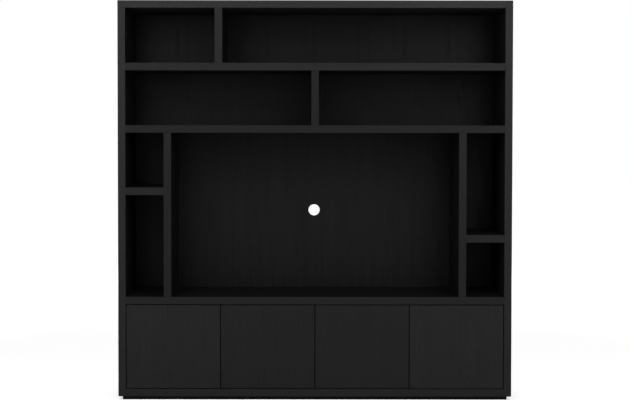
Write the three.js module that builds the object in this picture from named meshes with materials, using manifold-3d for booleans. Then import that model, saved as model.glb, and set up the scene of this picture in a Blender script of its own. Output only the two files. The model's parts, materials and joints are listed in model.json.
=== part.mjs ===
// A wall unit with a television bay: open rows at the top, narrow niches beside the bay, and a base
// closed by four flush doors that hang on pivot hinges and open with a push.
// Millimetres, +Z up, the front towards -Y. The origin is on the floor, in the middle of the plan.

import * as THREE from "three";
import { mergeVertices } from "three/addons/utils/BufferGeometryUtils.js";
import Module from "manifold-3d";

const wasm = await Module();
wasm.setup();

// Overall sizes and boards
const overall_width = 2000;
const overall_depth = 420;
const overall_height = 2032;
const board_thickness = 38;
const edge_radius = 1;

// Clear heights and widths. The television bay takes what the others leave.
const plinth_height = 20;
const base_clear = 432;
const row_clear = 278;
const niche_clear = 278;
const niche_width = 194;
const upper_left_width = 453;

// Housings. The ends of every fixed board are let into the boards that they meet. A housing stops short of
// the front edge, and the board's end is notched there, so that no joint shows from the front.
const housing_depth = 6;
const housing_stop = 12;

// Back panels, which stand in grooves with a space for cables between them and the wall. The grooves are
// deeper than the housings, so that each panel's edge reaches past the ends of the boards around it.
const cable_space = 30;
const back_thickness = 10;
const groove_past_housing = 3;
const groove_depth = housing_depth + groove_past_housing;
const groove_play = 0.3;
const cable_hole_radius = 30;

// Gaps left between pieces that meet, and how far a cut runs past the face that it opens
const joint_gap = 0.2;
const overrun = 2;
const weld_distance = 0.0001;

// Plinth frame
const plinth_inset = 20;
const plinth_rail = 18;

// Doors
const door_thickness = 18;
const door_gap = 4;
const door_count = 4;

// Pivot hinges. The axis stands inside the door, near its front corner, so that the corner clears the side.
const pivot_from_edge = 15;
const pivot_from_front = 8;
const pin_radius = 3;
const pin_length = 10;
const pin_chamfer = 0.8;
const collar_radius = 4.4;
const leaf_length = 46;
const leaf_width = 10;
const leaf_thickness = 2.5;
const leaf_end = 8;
const leaf_play = 0.2;
const screw_radius = 2;
const countersink_radius = 3.6;
const countersink_depth = 1.6;
const bush_radius = 5;
const bush_length = 9;
const bush_floor = 1;
const bush_flange_radius = 7;
const bush_flange = 1.2;
const running_gap = 0.3;

// Inside of the base
const interior_setback = 30;
const shelf_setback = 45;
const shelf_thickness = 18;
const shelf_side_gap = 1.5;
const hole_pitch = 32;
const hole_rows = 5;
const hole_radius = 2.5;
const hole_depth = 10;
const hole_inset = 37;

// Shelf pins
const stem_length = 9;
const stem_play = 0.2;
const pin_collar_radius = 4;
const pin_collar = 1;
const peg_radius = 3.2;
const peg_length = 9;
const peg_flat = 2.2;

// Push latches, one twin housing for each pair of doors
const latch_width = 46;
const latch_height = 24;
const latch_length = 64;
const latch_radius = 5;
const latch_wing = 9;
const latch_wing_thickness = 3;
const nose_radius = 8;
const nose_length = 4;
const plunger_spacing = 28;
const plunger_drop = 15;
const plunger_radius = 5;
const plunger_play = 0.4;
const plunger_length = 54;
const magnet_radius = 6;
const magnet_length = 6;
const push_in = 3;
const striker_radius = 8;
const striker_thickness = 1.5;

// Facets of round work
const corner_steps = 3;
const pin_steps = 16;
const bush_steps = 20;
const screw_steps = 12;
const cable_hole_steps = 48;

// Heights of the boards' faces
const base_floor = plinth_height + board_thickness;
const base_ceiling = base_floor + base_clear;
const bay_floor = base_ceiling + board_thickness;
const upper_ceiling = overall_height - board_thickness;
const upper_floor = upper_ceiling - row_clear;
const middle_ceiling = upper_floor - board_thickness;
const middle_floor = middle_ceiling - row_clear;
const bay_ceiling = middle_floor - board_thickness;

// Places across and through the unit
const inner_half = overall_width / 2 - board_thickness;
const front = -overall_depth / 2;
const open_depth = overall_depth - cable_space - back_thickness;
const back_face = front + open_depth;
const upright_middle = inner_half - niche_width - board_thickness / 2;
const niche_middle = inner_half - niche_width / 2;
const left_shelf_underside = bay_ceiling - niche_clear - board_thickness;
const right_shelf_underside = bay_floor + niche_clear;
const upper_divider_middle = -inner_half + upper_left_width + board_thickness / 2;

// How far the end of a board reaches past the face that it meets
const end_reach = housing_depth - joint_gap;

const stained_oak = new THREE.MeshStandardMaterial({ color: 0x3a3637, roughness: 0.62, metalness: 0 });
const stained_back = new THREE.MeshStandardMaterial({ color: 0x2c292a, roughness: 0.7, metalness: 0 });
const lacquer = new THREE.MeshStandardMaterial({ color: 0x2e2c2d, roughness: 0.5, metalness: 0 });
const nickel = new THREE.MeshStandardMaterial({ color: 0xb9b7b2, roughness: 0.3, metalness: 1 });
const nylon = new THREE.MeshStandardMaterial({ color: 0x1d1d1e, roughness: 0.55, metalness: 0 });
const magnet_steel = new THREE.MeshStandardMaterial({ color: 0x8c8c8a, roughness: 0.4, metalness: 1 });

// Solids

// Turns a closed geometry into a solid that can be joined and cut.
function toSolid(geometry) {
  const bare = geometry.clone();
  bare.deleteAttribute("normal");
  bare.deleteAttribute("uv");
  const merged = mergeVertices(bare, weld_distance);
  const mesh = new wasm.Mesh({
    numProp: 3,
    vertProperties: merged.getAttribute("position").array,
    triVerts: Uint32Array.from(merged.index.array),
  });
  return new wasm.Manifold(mesh);
}

// Turns a solid back into a geometry with flat-shaded faces.
function toGeometry(solid) {
  const mesh = solid.getMesh();
  const indexed = new THREE.BufferGeometry();
  indexed.setAttribute("position", new THREE.BufferAttribute(mesh.vertProperties, 3));
  indexed.setIndex(new THREE.BufferAttribute(mesh.triVerts, 1));
  const flat = indexed.toNonIndexed();
  flat.computeVertexNormals();
  return flat;
}

// Cuts every cutter out of a geometry.
function cut(geometry, cutters) {
  return toGeometry(cutters.reduce((solid, cutter) => solid.subtract(toSolid(cutter)), toSolid(geometry)));
}

// Joins geometries into one.
function join(...geometries) {
  return toGeometry(geometries.map(toSolid).reduce((whole, solid) => whole.add(solid)));
}

// A round bar between two points.
function bar(radius, from, to, steps) {
  const axis = new THREE.Vector3().subVectors(to, from);
  const geometry = new THREE.CylinderGeometry(radius, radius, axis.length(), steps);
  const turn = new THREE.Quaternion().setFromUnitVectors(new THREE.Vector3(0, 1, 0), axis.normalize());
  geometry.applyQuaternion(turn);
  const middle = new THREE.Vector3().addVectors(from, to).multiplyScalar(1 / 2);
  return geometry.translate(middle.x, middle.y, middle.z);
}

// A turned piece about the Z axis. The profile gives [radius, height] pairs, counterclockwise.
function turned(profile, steps) {
  const points = profile.map(([radius, height]) => new THREE.Vector2(radius, height));
  return new THREE.LatheGeometry(points, steps).rotateX(Math.PI / 2);
}

// An outline pushed along Z from zero to a height.
function extrude(outline, height, holes = []) {
  const shape = new THREE.Shape(outline);
  shape.holes = holes.map((points) => new THREE.Path(points));
  return new THREE.ExtrudeGeometry(shape, { depth: height, bevelEnabled: false });
}

// Outlines

// The points of an arc about a centre, in order.
function arc(x, y, radius, start, sweep, steps) {
  return Array.from({ length: steps + 1 }, (_, i) => {
    const angle = start + (sweep * i) / steps;
    return new THREE.Vector2(x + radius * Math.cos(angle), y + radius * Math.sin(angle));
  });
}

// A rectangle with four rounded corners.
function easedRectangle(x0, x1, y0, y1, radius) {
  const quarter = Math.PI / 2;
  return [
    ...arc(x0 + radius, y0 + radius, radius, 2 * quarter, quarter, corner_steps),
    ...arc(x1 - radius, y0 + radius, radius, 3 * quarter, quarter, corner_steps),
    ...arc(x1 - radius, y1 - radius, radius, 0, quarter, corner_steps),
    ...arc(x0 + radius, y1 - radius, radius, quarter, quarter, corner_steps),
  ];
}

// A bar with round ends, from x0 to x1.
function roundEnded(x0, x1, half_width, steps) {
  const half = Math.PI / 2;
  return [
    ...arc(x1 - half_width, 0, half_width, -half, Math.PI, steps),
    ...arc(x0 + half_width, 0, half_width, half, Math.PI, steps),
  ];
}

// A plain rectangle.
function rectangle(x0, x1, y0, y1) {
  return [
    new THREE.Vector2(x0, y0),
    new THREE.Vector2(x1, y0),
    new THREE.Vector2(x1, y1),
    new THREE.Vector2(x0, y1),
  ];
}

// A circle, as the outline of a hole.
function circle(x, y, radius, steps) {
  return arc(x, y, radius, 0, 2 * Math.PI, steps).slice(0, steps);
}

// A board's section. Its depth runs along x from the front edge and its thickness along y. The two front
// corners are eased, and a grooved face has the notch that holds the back panels.
function boardSection(depth, grooved_low, grooved_high) {
  const quarter = Math.PI / 2;
  const near = open_depth - groove_play;
  const far = open_depth + back_thickness + groove_play;
  const floor = groove_depth;
  const roof = board_thickness - groove_depth;
  const low = [[near, 0], [near, floor], [far, floor], [far, 0]];
  const high = [[far, board_thickness], [far, roof], [near, roof], [near, board_thickness]];
  const straight = [
    ...(grooved_low ? low : []),
    [depth, 0],
    [depth, board_thickness],
    ...(grooved_high ? high : []),
  ];
  return [
    ...straight.map(([x, y]) => new THREE.Vector2(x, y)),
    ...arc(edge_radius, board_thickness - edge_radius, edge_radius, quarter, quarter, corner_steps),
    ...arc(edge_radius, edge_radius, edge_radius, 2 * quarter, quarter, corner_steps),
  ];
}

// Placing

// Turns that stand a section up: its depth always runs from the front to the rear.
const x_axis = new THREE.Vector3(1, 0, 0);
const y_axis = new THREE.Vector3(0, 1, 0);
const z_axis = new THREE.Vector3(0, 0, 1);
const lying = new THREE.Matrix4().makeBasis(y_axis, z_axis, x_axis);
const standing = new THREE.Matrix4().makeBasis(y_axis, x_axis.clone().negate(), z_axis);

function piece(name, geometry, material, x, y, z) {
  const mesh = new THREE.Mesh(geometry, material);
  mesh.name = name;
  mesh.position.set(x, y, z);
  return mesh;
}

// A board that lies between the faces at x0 and x1 with its underside at z, its ends in their housings. The
// cutters' places are in the board's section, and along it they are measured from x = 0.
function lyingBoard(name, x0, x1, z, depth, grooved_low, grooved_high, cutters = []) {
  const start = x0 - end_reach;
  const length = x1 - x0 + 2 * end_reach;
  const blank = extrude(boardSection(depth, grooved_low, grooved_high), length).translate(0, 0, start);
  const geometry = cut(blank, [...endNotches(start, start + length), ...cutters]);
  const mesh = piece(name, geometry, stained_oak, 0, front, z);
  mesh.setRotationFromMatrix(lying);
  return mesh;
}

// A board that stands from z0 to z1, in the middle of x. Its cutters are measured along it from z = 0.
function standingBoard(name, x, z0, z1, setback, depth, cutters) {
  const blank = extrude(boardSection(depth, false, false), z1 - z0).translate(0, 0, z0);
  const mesh = piece(name, cut(blank, cutters), stained_oak, x + board_thickness / 2, front + setback, 0);
  mesh.setRotationFromMatrix(standing);
  return mesh;
}

// A board that stands in front of the back panels, its ends in the housings of the boards below and above.
function divider(name, x, floor, ceiling, setback = 0, cutters = []) {
  const low = floor - end_reach;
  const high = ceiling + end_reach;
  const depth = open_depth - setback - joint_gap;
  return standingBoard(name, x, low, high, setback, depth, [...endNotches(low, high), ...cutters]);
}

// Cutters

// The notches at the front of a board's two ends, which leave a shoulder over the end of each housing.
function endNotches(low, high) {
  const outline = rectangle(-overrun, housing_stop, -overrun, board_thickness + overrun);
  return [low - overrun, high - housing_depth].map((start) =>
    extrude(outline, housing_depth + overrun).translate(0, 0, start)
  );
}

// A trench in one face of a board, from near to far through its depth and from low to high along it.
function trench(face, inward, depth, near, far, low, high) {
  const floor = face + inward * depth;
  const mouth = face - inward * overrun;
  const outline = rectangle(near, far, Math.min(floor, mouth), Math.max(floor, mouth));
  return extrude(outline, high - low).translate(0, 0, low);
}

// The groove in a side for the back panels, which stops inside the top and the bottom panel's thickness.
function sideGroove(face, inward) {
  const near = open_depth - groove_play;
  const far = open_depth + back_thickness + groove_play;
  return trench(face, inward, groove_depth, near, far, base_floor - groove_depth, upper_ceiling + groove_depth);
}

// The housing for a board whose thickness begins at start, from the stop to a place at the rear.
function housing(face, inward, start, rear, setback = 0) {
  const near = setback + housing_stop - joint_gap;
  return trench(face, inward, housing_depth, near, rear, start - joint_gap, start + board_thickness + joint_gap);
}

// The housing in a lying board for a divider in the middle of x, which runs into the groove.
function dividerHousing(face, inward, x, setback = 0) {
  return housing(face, inward, x - board_thickness / 2, open_depth, setback);
}

// A back panel behind one level, its edges in the grooves of the boards around it.
function backPanel(name, z0, z1, holes = []) {
  const tongue = groove_depth - groove_play;
  const half = inner_half + tongue;
  const outline = rectangle(-half, half, z0 - tongue, z1 + tongue);
  const mesh = piece(name, extrude(outline, back_thickness, holes), stained_back, 0, back_face + back_thickness, 0);
  mesh.rotation.x = Math.PI / 2;
  return mesh;
}

// Carcass

// Rows of holes for the shelf pins, bored into one face of a standing board.
function pinHoles(face, inward, setback = 0) {
  const depths = [pin_front - front - setback, pin_rear - front - setback];
  const rows = Array.from({ length: hole_rows }, (_, i) => i - (hole_rows - 1) / 2);
  return depths.flatMap((depth) =>
    rows.map((row) => {
      const height = pin_height + row * hole_pitch;
      const mouth = new THREE.Vector3(depth, face - inward * overrun, height);
      const end = new THREE.Vector3(depth, face + inward * hole_depth, height);
      return bar(hole_radius, mouth, end, screw_steps);
    })
  );
}

// Bores for the pivot bushes, in the face of a lying board that the doors' ends meet.
function bushBores(face, inward) {
  const radius = bush_radius + joint_gap;
  return hinges.map(({ x }) => {
    const mouth = new THREE.Vector3(pivot_from_front, face - inward * overrun, x);
    const end = new THREE.Vector3(pivot_from_front, face + inward * (bush_length + joint_gap), x);
    return bar(radius, mouth, end, bush_steps);
  });
}

// Where the doors hang: the axis of each, and the side of the axis on which the door lies.
const door_width = (2 * inner_half - (door_count + 1) * door_gap) / door_count;
const door_height = base_clear - 2 * door_gap;
const hinges = Array.from({ length: door_count }, (_, i) => {
  const left_edge = -inner_half + door_gap + i * (door_width + door_gap);
  const hand = i % 2 === 0 ? 1 : -1;
  const hinge_edge = hand > 0 ? left_edge : left_edge + door_width;
  return { number: i + 1, hand, x: hinge_edge + hand * pivot_from_edge };
});

// Where the shelf pins stand
const pin_front = front + interior_setback + hole_inset;
const pin_rear = back_face - hole_inset;
const pin_height = (base_floor + base_ceiling) / 2;

// The cutters for one side: its groove, its pin holes, and the housings of every board that meets it.
function sideCutters(face, inward, niche_shelf_underside) {
  const through = overall_depth + overrun;
  const undersides = [plinth_height, base_ceiling, bay_ceiling, middle_ceiling, upper_ceiling];
  return [
    sideGroove(face, inward),
    ...undersides.map((underside) => housing(face, inward, underside, through)),
    housing(face, inward, niche_shelf_underside, open_depth),
    ...pinHoles(face, inward),
  ];
}

function sides() {
  const middle = (overall_width - board_thickness) / 2;
  const left = sideCutters(0, 1, left_shelf_underside);
  const right = sideCutters(board_thickness, -1, right_shelf_underside);
  return [
    standingBoard("side_left", -middle, plinth_height, overall_height, 0, overall_depth, left),
    standingBoard("side_right", middle, plinth_height, overall_height, 0, overall_depth, right),
  ];
}

// The five boards that run from side to side, from the bottom up.
function levels() {
  const top = board_thickness;
  const uprights = [-upright_middle, upright_middle];
  const level = (name, z, grooved_low, grooved_high, cutters) =>
    lyingBoard(name, -inner_half, inner_half, z, overall_depth, grooved_low, grooved_high, cutters);
  return [
    level("bottom_panel", plinth_height, false, true, [
      dividerHousing(top, -1, 0, interior_setback),
      ...bushBores(top, -1),
    ]),
    level("tv_deck", base_ceiling, true, true, [
      dividerHousing(0, 1, 0, interior_setback),
      ...uprights.map((x) => dividerHousing(top, -1, x)),
      ...bushBores(0, 1),
    ]),
    level("shelf_middle", bay_ceiling, true, true, [
      ...uprights.map((x) => dividerHousing(0, 1, x)),
      dividerHousing(top, -1, 0),
    ]),
    level("shelf_upper", middle_ceiling, true, true, [
      dividerHousing(0, 1, 0),
      dividerHousing(top, -1, upper_divider_middle),
    ]),
    level("top_panel", upper_ceiling, true, false, [dividerHousing(0, 1, upper_divider_middle)]),
  ];
}

// The dividers of the rows, and the uprights of the bay, each housed for its niche's shelf.
function dividers() {
  const through = open_depth + overrun;
  const left = housing(board_thickness, -1, left_shelf_underside, through);
  const right = housing(0, 1, right_shelf_underside, through);
  return [
    divider("divider_upper", upper_divider_middle, upper_floor, upper_ceiling),
    divider("divider_middle", 0, middle_floor, middle_ceiling),
    divider("upright_left", -upright_middle, bay_floor, bay_ceiling, 0, [left]),
    divider("upright_right", upright_middle, bay_floor, bay_ceiling, 0, [right]),
  ];
}

// A short shelf between a side and an upright of the bay.
function nicheShelf(name, x, z) {
  const half = niche_width / 2;
  return lyingBoard(name, x - half, x + half, z, open_depth - joint_gap, false, false);
}

function backs() {
  const cable_hole = circle(0, (bay_floor + bay_ceiling) / 2, cable_hole_radius, cable_hole_steps);
  return [
    backPanel("back_upper", upper_floor, upper_ceiling),
    backPanel("back_middle", middle_floor, middle_ceiling),
    backPanel("back_bay", bay_floor, bay_ceiling, [cable_hole]),
    backPanel("back_base", base_floor, base_ceiling),
  ];
}

function carcass() {
  const group = new THREE.Group();
  group.add(
    ...sides(),
    ...levels(),
    ...dividers(),
    nicheShelf("niche_shelf_left", -niche_middle, left_shelf_underside),
    nicheShelf("niche_shelf_right", niche_middle, right_shelf_underside),
    ...backs()
  );
  return group;
}

// The recessed frame that the unit stands on, with a cross rail under the partition.
function plinth() {
  const half_width = overall_width / 2 - plinth_inset;
  const half_depth = overall_depth / 2 - plinth_inset;
  const window_half = half_depth - plinth_rail;
  const windows = [
    rectangle(-half_width + plinth_rail, -plinth_rail / 2, -window_half, window_half),
    rectangle(plinth_rail / 2, half_width - plinth_rail, -window_half, window_half),
  ];
  const outline = rectangle(-half_width, half_width, -half_depth, half_depth);
  const cutters = windows.map((window) => extrude(window, plinth_height + 2 * overrun).translate(0, 0, -overrun));
  return piece("plinth_frame", cut(extrude(outline, plinth_height - joint_gap), cutters), stained_oak, 0, 0, 0);
}

// Inside of the base

// The partition in the middle of the base, set back behind the doors' swing and bored from both faces.
function partition() {
  const holes = [...pinHoles(0, 1, interior_setback), ...pinHoles(board_thickness, -1, interior_setback)];
  return divider("base_partition", 0, base_floor, base_ceiling, interior_setback, holes);
}

// A pin that points along +X into the cupboard. Its stem is in the hole, and the flat of its peg carries the
// shelf.
function shelfPin() {
  const stem = hole_radius - stem_play;
  const body = turned(
    [
      [0, -stem_length],
      [stem, -stem_length],
      [stem, joint_gap],
      [pin_collar_radius, joint_gap],
      [pin_collar_radius, pin_collar],
      [peg_radius, pin_collar],
      [peg_radius, pin_collar + peg_length],
      [0, pin_collar + peg_length],
    ],
    pin_steps
  ).rotateY(Math.PI / 2);
  const flat = new THREE.BoxGeometry(peg_length + overrun, 2 * peg_radius + overrun, peg_radius);
  flat.translate(pin_collar + (peg_length + overrun) / 2, 0, peg_flat + peg_radius / 2);
  return cut(body, [flat]);
}

// One cupboard's shelf and its four pins. The cupboard lies between x0 and x1.
function cupboard(side, x0, x1) {
  const group = new THREE.Group();
  const underside = pin_height + peg_flat + joint_gap;
  const depth = open_depth - shelf_setback - joint_gap;
  const section = easedRectangle(0, depth, 0, shelf_thickness, edge_radius);
  const length = x1 - x0 - 2 * shelf_side_gap;
  const shelf = piece(`cupboard_shelf_${side}`, extrude(section, length), stained_oak, x0 + shelf_side_gap,
    front + shelf_setback, underside);
  shelf.setRotationFromMatrix(lying);
  group.add(shelf);
  const places = [[x0, 0, pin_front], [x0, 0, pin_rear], [x1, Math.PI, pin_front], [x1, Math.PI, pin_rear]];
  places.forEach(([x, turn, y], i) => {
    const pin = piece(`shelf_pin_${side}_${i + 1}`, shelfPin(), nickel, x, y, pin_height);
    pin.rotation.z = turn;
    group.add(pin);
  });
  return group;
}

// Doors and pivot hinges

// The steel leaf let into a door's end. Its outer face is at z = 0 and its pin points along +Z. The plate
// reaches along +X, away from the hinge edge.
function pivotLeaf() {
  const half = leaf_width / 2;
  const plate = extrude(roundEnded(-leaf_end, leaf_length - leaf_end, half, pin_steps / 2), leaf_thickness);
  plate.translate(0, 0, -leaf_thickness);
  const collar_height = door_gap - bush_flange - running_gap;
  const pin = turned(
    [
      [0, -leaf_thickness / 2],
      [collar_radius, -leaf_thickness / 2],
      [collar_radius, collar_height],
      [pin_radius, collar_height],
      [pin_radius, pin_length - pin_chamfer],
      [pin_radius - pin_chamfer, pin_length],
      [0, pin_length],
    ],
    pin_steps
  );
  const spread = leaf_length - leaf_end - half - collar_radius;
  const screws = [1, 2].map((i) => countersunk(leaf_thickness, collar_radius + (spread * i) / 2));
  return cut(join(plate, pin), screws);
}

// The cutter for a countersunk screw hole at x through a plate whose outer face is at z = 0.
function countersunk(thickness, x) {
  const cutter = turned(
    [
      [0, -thickness - overrun],
      [screw_radius, -thickness - overrun],
      [screw_radius, -countersink_depth],
      [countersink_radius, 0],
      [countersink_radius, overrun],
      [0, overrun],
    ],
    screw_steps
  );
  return cutter.translate(x, 0, 0);
}

// The plastic bush in the deck or the bottom panel. Its flange lies on the board's face, at z = 0, and its
// body reaches into the board along +Z.
function pivotBush() {
  const bore = pin_radius + running_gap;
  return turned(
    [
      [0, bush_length - bush_floor],
      [bore, bush_length - bush_floor],
      [bore, -bush_flange],
      [bush_flange_radius, -bush_flange],
      [bush_flange_radius, -joint_gap],
      [bush_radius, -joint_gap],
      [bush_radius, bush_length],
      [0, bush_length],
    ],
    bush_steps
  );
}

// The slab of a door on its axis, with a recess in each end for a leaf.
function doorSlab(hand) {
  const hinge_side = -hand * pivot_from_edge;
  const free_side = hand * (door_width - pivot_from_edge);
  const x0 = Math.min(hinge_side, free_side);
  const x1 = Math.max(hinge_side, free_side);
  const plan = easedRectangle(x0, x1, -pivot_from_front, door_thickness - pivot_from_front, edge_radius);
  const recess_depth = leaf_thickness + leaf_play;
  const recess_half = leaf_width / 2 + leaf_play;
  const recess = roundEnded(-leaf_end - leaf_play, leaf_length - leaf_end + leaf_play, recess_half, pin_steps / 2);
  const turn = hand > 0 ? 0 : Math.PI;
  const cutters = [-overrun, door_height - recess_depth].map((z) =>
    extrude(recess, recess_depth + overrun).rotateZ(turn).translate(0, 0, z)
  );
  return cut(extrude(plan, door_height), cutters);
}

// One door with its leaves and its striker. The group stands on the door's axis, at its lower end.
function door({ number, hand, x }) {
  const group = new THREE.Group();
  group.position.set(x, front + pivot_from_front, base_floor + door_gap);
  group.add(piece(`door_${number}`, doorSlab(hand), lacquer, 0, 0, 0));
  const upper = piece(`pivot_leaf_${number}_top`, pivotLeaf(), nickel, 0, 0, door_height);
  upper.rotation.z = hand > 0 ? 0 : Math.PI;
  const lower = piece(`pivot_leaf_${number}_bottom`, pivotLeaf(), nickel, 0, 0, 0);
  lower.rotation.set(hand > 0 ? Math.PI : 0, hand > 0 ? 0 : Math.PI, 0);
  const back = door_thickness - pivot_from_front;
  const striker_x = plungerX(number) - x;
  const striker_z = plunger_height - base_floor - door_gap;
  const striker = piece(`striker_${number}`, strikerPlate(), magnet_steel, striker_x, back + joint_gap, striker_z);
  striker.rotation.x = -Math.PI / 2;
  group.add(upper, lower, striker);
  return group;
}

// The bushes of one door, in the boards above and below it.
function bushes({ number, x }) {
  const group = new THREE.Group();
  const y = front + pivot_from_front;
  const lower = piece(`pivot_bush_${number}_bottom`, pivotBush(), nylon, x, y, base_floor);
  lower.rotation.x = Math.PI;
  group.add(piece(`pivot_bush_${number}_top`, pivotBush(), nylon, x, y, base_ceiling), lower);
  return group;
}

// Push latches

// The plungers stand in pairs behind the free edges of two neighbouring doors.
const plunger_height = base_ceiling - plunger_drop;
const striker_face = front + door_thickness + joint_gap + striker_thickness;
const plunger_tip = striker_face + running_gap;
const nose_front = plunger_tip + magnet_length + push_in;
const latch_rear = nose_front + nose_length + latch_length;
const plunger_bore = plunger_length + running_gap;

function latchX(number) {
  return (number <= door_count / 2 ? -1 : 1) * (door_width + door_gap);
}

function plungerX(number) {
  const side = number % 2 === 1 ? -1 : 1;
  return latchX(number) + (side * plunger_spacing) / 2;
}

// The plate on a door's back that the magnet holds, flat at z = 0 and countersunk from its far face.
function strikerPlate() {
  const plate = turned(
    [
      [0, 0],
      [striker_radius, 0],
      [striker_radius, striker_thickness - joint_gap],
      [striker_radius - joint_gap, striker_thickness],
      [0, striker_thickness],
    ],
    bush_steps
  );
  return cut(plate, [countersunk(striker_thickness, 0).translate(0, 0, striker_thickness)]);
}

// The twin housing. Its top is at y = 0 under the deck, and it reaches along z towards the doors.
function latchHousing() {
  const half = latch_width / 2;
  const box = extrude(easedRectangle(-half, half, -latch_height, -joint_gap, latch_radius), latch_length);
  const wing_half = half + latch_wing;
  const wings = extrude(
    easedRectangle(-wing_half, wing_half, -latch_wing_thickness, -joint_gap, edge_radius),
    latch_length
  );
  const plungers = [-1, 1].map((side) => (side * plunger_spacing) / 2);
  const noses = plungers.map((x) => {
    const root = new THREE.Vector3(x, -plunger_drop, latch_length - overrun);
    const end = new THREE.Vector3(x, -plunger_drop, latch_length + nose_length);
    return bar(nose_radius, root, end, bush_steps);
  });
  const bores = plungers.map((x) => {
    const floor = new THREE.Vector3(x, -plunger_drop, latch_length + nose_length - plunger_bore);
    const mouth = new THREE.Vector3(x, -plunger_drop, latch_length + nose_length + overrun);
    return bar(plunger_radius + plunger_play, floor, mouth, bush_steps);
  });
  const screws = [-1, 1].flatMap((side) =>
    [1, 3].map((quarter) => {
      const x = side * (half + latch_wing / 2);
      const z = (latch_length * quarter) / 4;
      const below = new THREE.Vector3(x, -latch_wing_thickness - overrun, z);
      return bar(screw_radius, below, new THREE.Vector3(x, overrun, z), screw_steps);
    })
  );
  return cut(join(box, wings, ...noses), [...bores, ...screws]);
}

// A plunger that points along +Z, its magnet's face at z = 0.
function plunger() {
  return turned(
    [
      [0, -magnet_length - plunger_length],
      [plunger_radius, -magnet_length - plunger_length],
      [plunger_radius, -magnet_length],
      [magnet_radius, -magnet_length],
      [magnet_radius, -pin_chamfer],
      [magnet_radius - pin_chamfer, 0],
      [0, 0],
    ],
    pin_steps
  );
}

// One twin housing under the deck with its two plungers.
function latch(side, numbers) {
  const group = new THREE.Group();
  group.position.set(latchX(numbers[0]), latch_rear, base_ceiling);
  group.rotation.x = Math.PI / 2;
  group.add(piece(`latch_housing_${side}`, latchHousing(), nylon, 0, 0, 0));
  for (const number of numbers) {
    const x = plungerX(number) - latchX(number);
    group.add(piece(`plunger_${number}`, plunger(), nylon, x, -plunger_drop, latch_rear - plunger_tip));
  }
  return group;
}

const unit = new THREE.Group();
const base_inner = board_thickness / 2;
unit.add(
  carcass(),
  plinth(),
  partition(),
  cupboard("left", -inner_half, -base_inner),
  cupboard("right", base_inner, inner_half),
  latch("left", [1, 2]),
  latch("right", [3, 4]),
  ...hinges.map(door),
  ...hinges.map(bushes)
);

export default unit;
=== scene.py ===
"""Dresses a black-stained oak wall unit with a television bay, and stages it in a plain pale studio.

The boards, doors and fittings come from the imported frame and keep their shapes. This script gives them
their finishes, adds the small screws that hold them, and sets up the floor, the light and the camera.
Everything is in metres, +Z up, with the doors facing -Y.
"""

import json
import logging
import math
from dataclasses import dataclass, field, replace
from enum import Enum
from typing import Sequence

import bpy
import numpy as np
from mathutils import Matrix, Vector


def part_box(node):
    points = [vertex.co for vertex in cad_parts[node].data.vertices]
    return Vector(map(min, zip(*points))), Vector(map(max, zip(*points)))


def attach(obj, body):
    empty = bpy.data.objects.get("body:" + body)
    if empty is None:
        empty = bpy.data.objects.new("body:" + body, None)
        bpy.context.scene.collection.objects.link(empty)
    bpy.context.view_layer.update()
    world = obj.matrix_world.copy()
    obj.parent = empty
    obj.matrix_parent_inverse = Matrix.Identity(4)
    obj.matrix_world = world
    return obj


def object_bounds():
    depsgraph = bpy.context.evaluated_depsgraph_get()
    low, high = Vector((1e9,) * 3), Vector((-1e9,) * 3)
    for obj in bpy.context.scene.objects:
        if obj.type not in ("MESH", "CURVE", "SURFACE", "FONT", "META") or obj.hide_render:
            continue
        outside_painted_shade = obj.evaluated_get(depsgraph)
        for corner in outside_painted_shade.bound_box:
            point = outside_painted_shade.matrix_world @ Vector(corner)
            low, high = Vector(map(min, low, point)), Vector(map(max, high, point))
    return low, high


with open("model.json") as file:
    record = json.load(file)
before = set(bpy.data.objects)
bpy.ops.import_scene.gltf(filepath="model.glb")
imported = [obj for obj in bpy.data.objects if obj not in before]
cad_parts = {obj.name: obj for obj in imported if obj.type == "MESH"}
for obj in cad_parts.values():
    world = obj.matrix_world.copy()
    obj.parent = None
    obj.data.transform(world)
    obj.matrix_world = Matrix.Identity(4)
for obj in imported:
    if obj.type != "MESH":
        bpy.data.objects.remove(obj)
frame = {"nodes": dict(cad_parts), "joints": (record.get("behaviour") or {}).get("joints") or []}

log = logging.getLogger("wall_unit")

Socket = bpy.types.NodeSocket
Band = tuple[float, float]
Triple = tuple[float, float, float]

NODES: dict[str, bpy.types.Object] = frame["nodes"]
HINGES: dict[str, Triple] = {
    joint["child"]: tuple(joint["pos_m"]) for joint in frame["joints"] if joint["type"] == "hinge"}
CAD_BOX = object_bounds()
PHOTO_WIDTH = 631
PHOTO_HEIGHT = 400
ORIGIN: Triple = (0.0, 0.0, 0.0)
BLACK: Triple = (0.0, 0.0, 0.0)
WHITE: Triple = (1.0, 1.0, 1.0)
SHARP_ANGLE = math.radians(32)


# Node materials


class Cut(Enum):
    """How a board lies. The value gives, for each board axis, the object axis that it follows.

    The board axes are across the grain in the broad face, through the thickness, and along the grain.
    """

    LYING = (1, 2, 0)
    UPRIGHT = (1, 0, 2)
    FACING = (0, 1, 2)


@dataclass(frozen=True)
class Noise:
    """A noise: its features per metre along each axis, its finer layers, and how strong they are."""

    scales: Triple
    detail: float = 2.0
    roughness: float = 0.5


def opaque(colour: Triple) -> tuple[float, float, float, float]:
    """A colour with the full alpha that a colour socket takes."""
    return (*colour, 1.0)


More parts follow.
